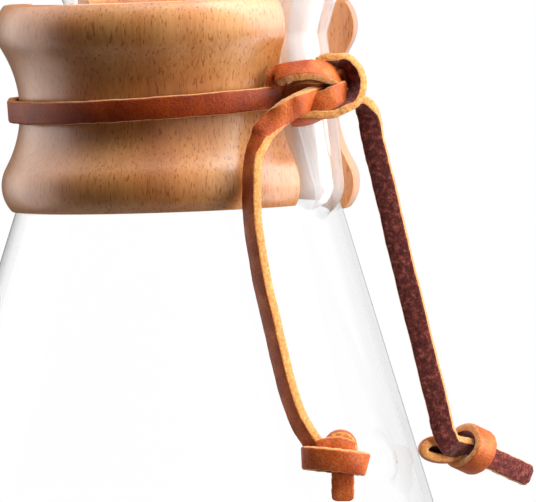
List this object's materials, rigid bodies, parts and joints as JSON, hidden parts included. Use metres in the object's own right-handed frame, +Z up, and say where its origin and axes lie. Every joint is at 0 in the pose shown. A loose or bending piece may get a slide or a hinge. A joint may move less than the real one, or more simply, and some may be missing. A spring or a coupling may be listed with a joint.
{
  "type": "pour-over coffee maker",
  "caption": "Hourglass glass pour-over coffee maker with an air channel that ends in a pouring lip, a split wooden collar round its neck and a knotted leather thong.",
  "frame": {"origin": "middle of the flat base, on the surface it stands on", "axes": "+Z up along the vessel's axis, +X towards the air channel and pouring lip, -Y towards the collar half seen in front"},
  "size_m": [0.1373, 0.125, 0.216],
  "materials": {
    "glass": "clear, polished",
    "wood": "fine-grained, lacquered",
    "leather": "smooth grain side, raw edges"
  },
  "bodies": {
    "carafe": {"glass_vessel": "glass", "collar_front": "wood", "collar_back": "wood", "tie_band": "leather", "tie_knot": "leather"},
    "front_thong_end": {"front_tail": "leather", "front_tail_knot": "leather"},
    "side_thong_end": {"side_tail": "leather", "side_tail_knot": "leather"}
  },
  "joints": [
    {"name": "front_tail_swing", "type": "hinge", "parent": "carafe", "child": "front_thong_end", "pos_m": [0.0394, -0.0272, 0.1086], "axis": [-0.995, -0.1, 0], "range_deg": [0, 45], "stiffness_Nm_per_rad": 0.01},
    {"name": "side_tail_swing", "type": "hinge", "parent": "carafe", "child": "side_thong_end", "pos_m": [0.055, 0.0008, 0.1154], "axis": [0.9579, 0.287, 0], "range_deg": [-40, 30], "stiffness_Nm_per_rad": 0.01}
  ]
}
